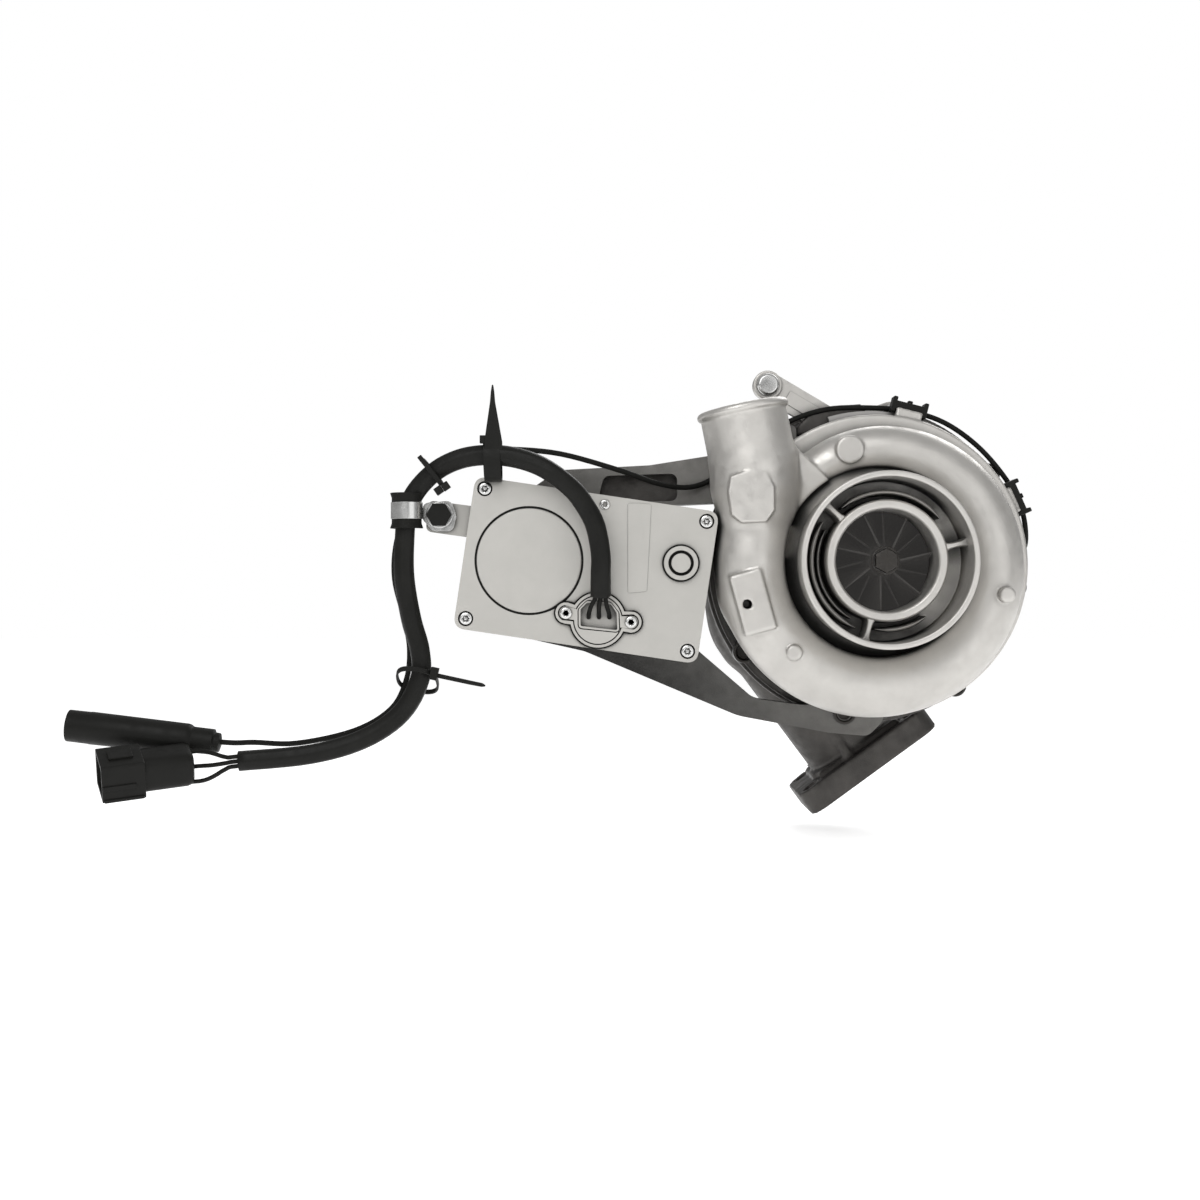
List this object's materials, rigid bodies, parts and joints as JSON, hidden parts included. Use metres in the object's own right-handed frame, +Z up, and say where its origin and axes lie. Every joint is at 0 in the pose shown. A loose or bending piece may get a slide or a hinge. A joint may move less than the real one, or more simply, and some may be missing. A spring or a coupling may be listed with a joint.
{
  "type": "turbocharger",
  "caption": "Variable-geometry turbocharger with an electric vane actuator on a bracket, a clamped harness and a speed sensor lead.",
  "frame": {"origin": "centre of the turbine inlet port, on the face of the four-bolt foot", "axes": "-Y points out of the compressor inlet along the shaft; +Z is up with the air outlet at the top; the foot looks down and to +X at 36 degrees from -Z"},
  "size_m": [0.5911, 0.225, 0.2796],
  "materials": {
    "cover_casting": "as-cast, bead blasted, warm silver",
    "wheel_alloy": "dark machined alloy",
    "machined_alloy": "turned",
    "bright_steel": "zinc plated",
    "steel": "machined",
    "bearing_bronze": "turned bearing bronze",
    "iron_casting": "as-cast",
    "bracket_iron": "as-cast, dark",
    "actuator_casting": "die cast, satin",
    "black_rubber": "matt",
    "black_plastic": "moulded",
    "black_sleeve": "braided sleeve over tape",
    "black_steel": "black oxide"
  },
  "bodies": {
    "root": {"compressor_cover": "cover_casting", "compressor_backplate": "machined_alloy", "backplate_screws": "steel", "backplate_o_ring": "black_rubber", "cover_clamp_plates": "bright_steel", "cover_bolts": "steel", "thrust_bearing": "bearing_bronze", "journal_bearing_front": "bearing_bronze", "journal_bearing_rear": "bearing_bronze", "shaft_seal_rings": "steel", "bearing_housing": "iron_casting", "heat_shield": "bright_steel", "turbine_housing": "iron_casting", "flange_bolts": "steel", "nozzle_ring": "steel", "crank_bush": "bearing_bronze", "actuator_housing": "actuator_casting", "actuator_front_cover": "actuator_casting", "front_cover_screws": "bright_steel", "motor": "steel", "output_bush": "bearing_bronze", "connector_plate": "machined_alloy", "connector_plate_screws": "bright_steel", "shaft_plug": "machined_alloy", "actuator_bracket": "bracket_iron", "bracket_bolts": "steel", "clamp_tab": "actuator_casting", "clamp_band": "bright_steel", "clamp_cushion": "black_rubber", "clamp_bolt": "black_steel", "harness_conduit": "black_sleeve", "harness_wires": "black_sleeve", "square_connector": "black_plastic", "sensor_lead": "black_sleeve", "sensor_connector": "black_plastic", "cable_ties": "black_plastic", "lead_clips": "black_plastic", "speed_sensor": "black_plastic", "lifting_arm": "cover_casting", "lifting_arm_pin": "bright_steel"},
    "rotor": {"turbine_shaft_wheel": "steel", "compressor_wheel": "wheel_alloy", "compressor_locknut": "steel", "oil_flinger": "steel"},
    "output_shaft": {"sector_gear": "steel", "output_lever": "steel"},
    "link": {"link_rod": "steel"},
    "crank": {"vane_crank": "steel"},
    "unison": {"unison_ring": "steel"},
    "pinion": {"motor_pinion": "steel"},
    "idler": {"intermediate_gear": "steel"},
    "nozzle_vane_1": {"vane_1": "steel"},
    "nozzle_vane_2": {"vane_2": "steel"},
    "nozzle_vane_3": {"vane_3": "steel"},
    "nozzle_vane_4": {"vane_4": "steel"},
    "nozzle_vane_5": {"vane_5": "steel"},
    "nozzle_vane_6": {"vane_6": "steel"},
    "nozzle_vane_7": {"vane_7": "steel"},
    "nozzle_vane_8": {"vane_8": "steel"},
    "nozzle_vane_9": {"vane_9": "steel"}
  },
  "joints": [
    {"name": "rotor_spin", "type": "hinge", "parent": "root", "child": "rotor", "pos_m": [-0.0117, -0.085, 0.13179], "axis": [0, 1, 0], "continuous": true},
    {"name": "output_turn", "type": "hinge", "parent": "root", "child": "output_shaft", "pos_m": [-0.1287, -0.081, 0.13079], "axis": [0, 1, 0], "range_deg": [-25, 25]},
    {"name": "link_swing", "type": "hinge", "parent": "output_shaft", "child": "link", "pos_m": [-0.1287, -0.076, 0.15279], "axis": [0, 1, 0], "range_deg": [-26, 26]},
    {"name": "crank_turn", "type": "hinge", "parent": "root", "child": "crank", "pos_m": [-0.0867, -0.081, 0.13079], "axis": [0, 1, 0], "range_deg": [-26, 26]},
    {"name": "unison_turn", "type": "hinge", "parent": "root", "child": "unison", "pos_m": [-0.0117, -0.057, 0.13179], "axis": [0, 1, 0], "range_deg": [-5, 5]},
    {"name": "pinion_spin", "type": "hinge", "parent": "root", "child": "pinion", "pos_m": [-0.2177, -0.095, 0.13229], "axis": [0, 1, 0], "range_deg": [-505, 505]},
    {"name": "idler_turn", "type": "hinge", "parent": "root", "child": "idler", "pos_m": [-0.182, -0.095, 0.12009], "axis": [0, 1, 0], "range_deg": [-126, 126]},
    {"name": "vane_1_turn", "type": "hinge", "parent": "root", "child": "nozzle_vane_1", "pos_m": [0.02507, -0.045, 0.16265], "axis": [0, 1, 0], "range_deg": [-26, 26]},
    {"name": "vane_2_turn", "type": "hinge", "parent": "root", "child": "nozzle_vane_2", "pos_m": [-0.00336, -0.045, 0.17906], "axis": [0, 1, 0], "range_deg": [-26, 26]},
    {"name": "vane_3_turn", "type": "hinge", "parent": "root", "child": "nozzle_vane_3", "pos_m": [-0.0357, -0.045, 0.17336], "axis": [0, 1, 0], "range_deg": [-26, 26]},
    {"name": "vane_4_turn", "type": "hinge", "parent": "root", "child": "nozzle_vane_4", "pos_m": [-0.05681, -0.045, 0.14821], "axis": [0, 1, 0], "range_deg": [-26, 26]},
    {"name": "vane_5_turn", "type": "hinge", "parent": "root", "child": "nozzle_vane_5", "pos_m": [-0.05681, -0.045, 0.11538], "axis": [0, 1, 0], "range_deg": [-26, 26]},
    {"name": "vane_6_turn", "type": "hinge", "parent": "root", "child": "nozzle_vane_6", "pos_m": [-0.0357, -0.045, 0.09022], "axis": [0, 1, 0], "range_deg": [-26, 26]},
    {"name": "vane_7_turn", "type": "hinge", "parent": "root", "child": "nozzle_vane_7", "pos_m": [-0.00336, -0.045, 0.08452], "axis": [0, 1, 0], "range_deg": [-26, 26]},
    {"name": "vane_8_turn", "type": "hinge", "parent": "root", "child": "nozzle_vane_8", "pos_m": [0.02507, -0.045, 0.10094], "axis": [0, 1, 0], "range_deg": [-26, 26]},
    {"name": "vane_9_turn", "type": "hinge", "parent": "root", "child": "nozzle_vane_9", "pos_m": [0.0363, -0.045, 0.13179], "axis": [0, 1, 0], "range_deg": [-26, 26]}
  ],
  "couplings": [
    {"joint": "link_swing", "follows": "output_turn", "ratio": -1},
    {"joint": "crank_turn", "follows": "output_turn", "ratio": 1},
    {"joint": "unison_turn", "follows": "output_turn", "ratio": -0.184},
    {"joint": "idler_turn", "follows": "output_turn", "ratio": -5},
    {"joint": "pinion_spin", "follows": "output_turn", "ratio": 20},
    {"joint": "vane_1_turn", "follows": "output_turn", "ratio": -0.9936},
    {"joint": "vane_2_turn", "follows": "output_turn", "ratio": -0.9936},
    {"joint": "vane_3_turn", "follows": "output_turn", "ratio": -0.9936},
    {"joint": "vane_4_turn", "follows": "output_turn", "ratio": -0.9936},
    {"joint": "vane_5_turn", "follows": "output_turn", "ratio": -0.9936},
    {"joint": "vane_6_turn", "follows": "output_turn", "ratio": -0.9936},
    {"joint": "vane_7_turn", "follows": "output_turn", "ratio": -0.9936},
    {"joint": "vane_8_turn", "follows": "output_turn", "ratio": -0.9936},
    {"joint": "vane_9_turn", "follows": "output_turn", "ratio": -0.9936}
  ]
}
